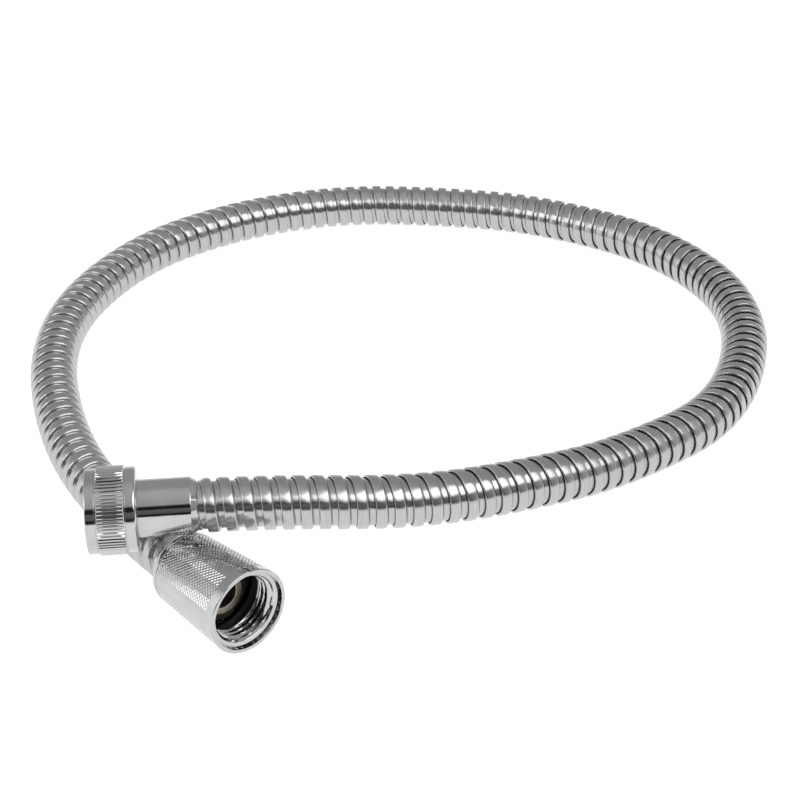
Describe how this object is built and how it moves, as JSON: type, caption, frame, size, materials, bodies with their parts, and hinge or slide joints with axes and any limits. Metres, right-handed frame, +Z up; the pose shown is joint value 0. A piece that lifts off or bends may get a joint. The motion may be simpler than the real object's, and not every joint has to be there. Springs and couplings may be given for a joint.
{
  "type": "spray hose",
  "caption": "Flexible metal spray hose lying in one loose loop, with a short knurled swivel nut on its supply end and a long tapered knurled swivel nut on its spray end.",
  "frame": {"origin": "on the floor, below the middle of the box round the two couplings", "axes": "+Z up; +X runs along the supply coupling from its open mouth towards the hose, so its thread faces -X; the loop of hose lies towards +Y"},
  "size_m": [0.265, 0.283, 0.0443],
  "materials": {
    "chrome": "bright polished chrome plate",
    "hose_steel": "polished stainless strip with fine lengthwise rolling lines",
    "nickel_brass": "thin nickel flash over turned brass",
    "washer_rubber": "matt black rubber",
    "tube_rubber": "smooth black rubber",
    "braid_yarn": "woven polyester yarn",
    "ring_nylon": "natural nylon"
  },
  "bodies": {
    "hose": {"outer_hose": "hose_steel", "hose_braid": "braid_yarn", "inner_tube": "tube_rubber", "supply_tail": "nickel_brass", "supply_washer": "washer_rubber", "supply_ferrule": "chrome", "supply_collar": "nickel_brass", "spray_tail": "nickel_brass", "spray_washer": "washer_rubber", "spray_ferrule": "chrome", "spray_collar": "nickel_brass"},
    "supply_ring": {"supply_slip_ring": "ring_nylon"},
    "supply_nut": {"supply_nut": "chrome"},
    "spray_ring": {"spray_slip_ring": "ring_nylon"},
    "spray_nut": {"spray_nut": "chrome"}
  },
  "joints": [
    {"name": "supply_nut_slide", "type": "slide", "parent": "hose", "child": "supply_ring", "axis": [1, 0, 0], "range_m": [0, 0.002]},
    {"name": "supply_nut_spin", "type": "hinge", "parent": "supply_ring", "child": "supply_nut", "pos_m": [-0.0203, 0.0111, 0.0315], "axis": [1, 0, 0], "continuous": true},
    {"name": "spray_nut_slide", "type": "slide", "parent": "hose", "child": "spray_ring", "axis": [-0.5852, 0.8088, -0.0584], "range_m": [0, 0.0025]},
    {"name": "spray_nut_spin", "type": "hinge", "parent": "spray_ring", "child": "spray_nut", "pos_m": [0.00608, -0.00104, 0.01197], "axis": [-0.5852, 0.8088, -0.0584], "continuous": true}
  ]
}
